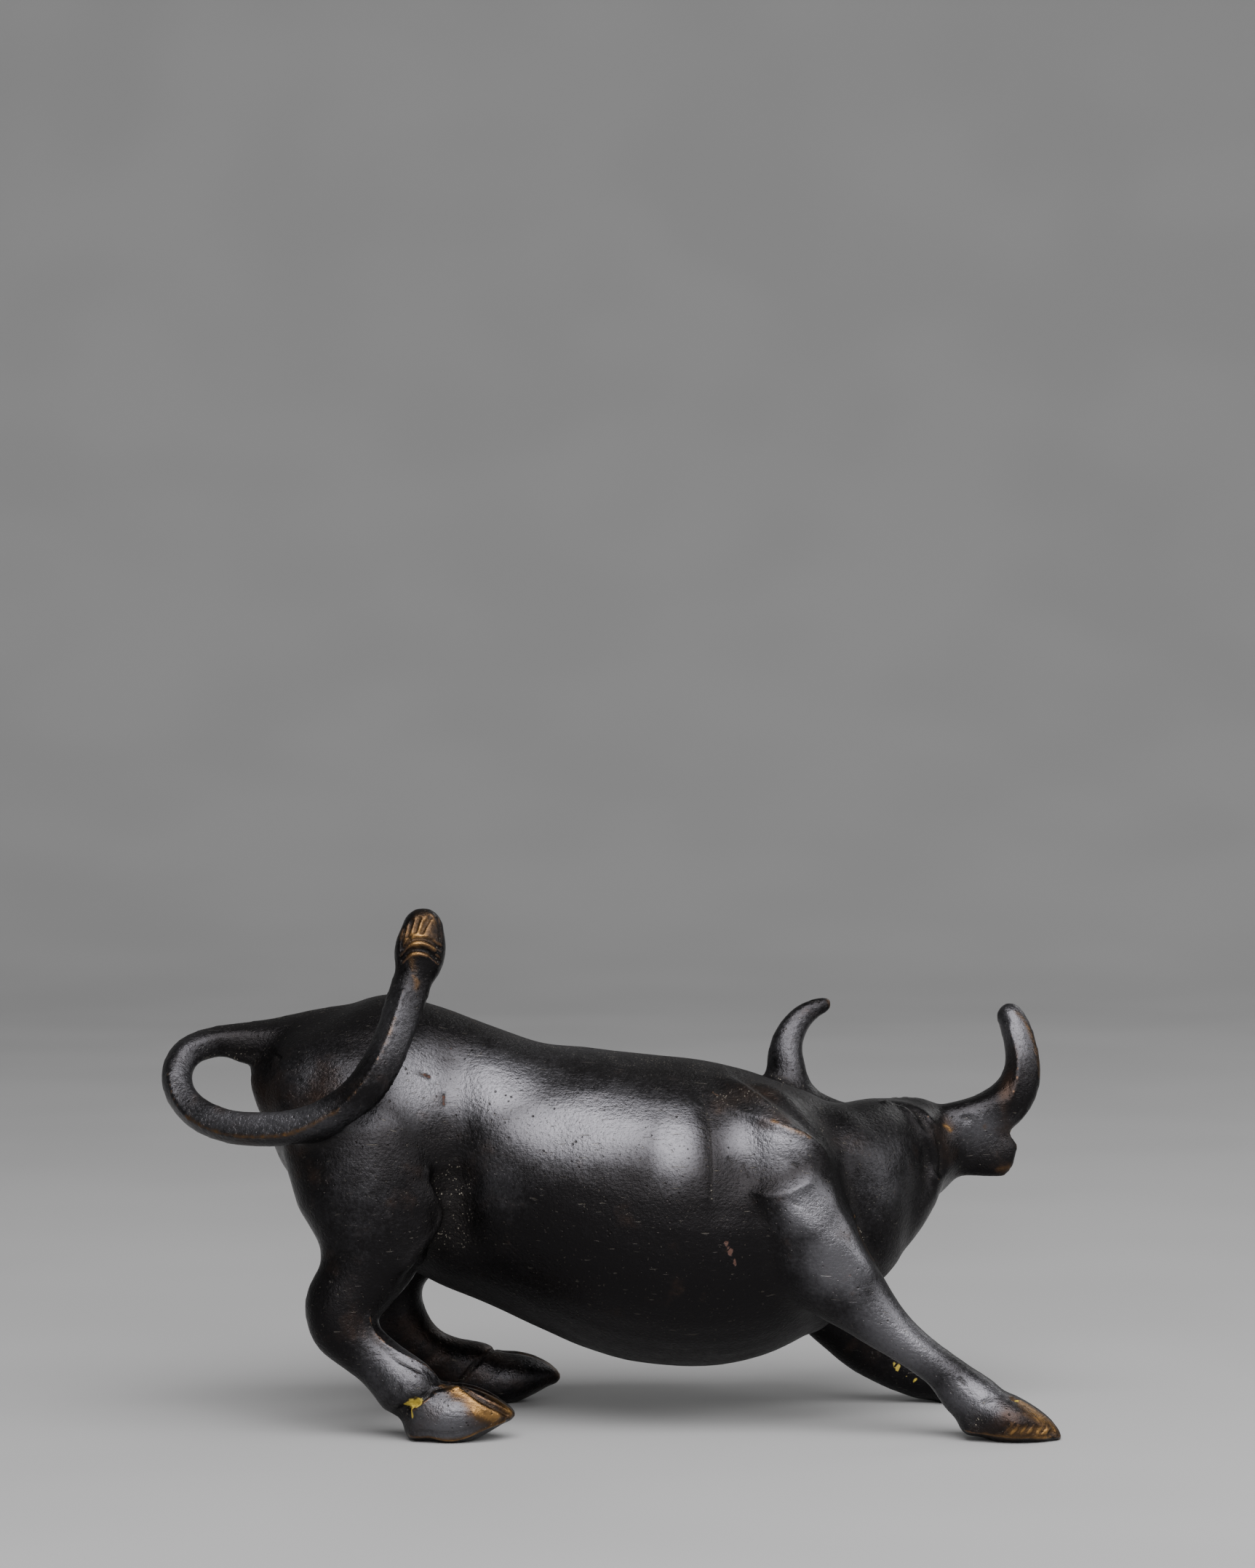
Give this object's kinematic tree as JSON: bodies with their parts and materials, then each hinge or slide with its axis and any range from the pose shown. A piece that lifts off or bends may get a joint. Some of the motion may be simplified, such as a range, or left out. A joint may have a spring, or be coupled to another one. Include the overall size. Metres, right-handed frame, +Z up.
{
  "type": "bull sculpture",
  "caption": "Cast bronze bull or water buffalo with its rump high and forelegs stretched forward, head turned to its left, tail looped over the haunch.",
  "frame": {"origin": "under the middle of the figure's box, in the plane of its four soles", "axes": "+X the way the body points, +Y the bull's left, where its head looks, +Z up"},
  "size_m": [0.197, 0.0896, 0.1153],
  "materials": {
    "patinated_bronze": "satin, dark brown-black patina worn to yellow metal on hooves, tail and horns"
  },
  "bodies": {
    "root": {"bull": "patinated_bronze"}
  },
  "joints": []
}
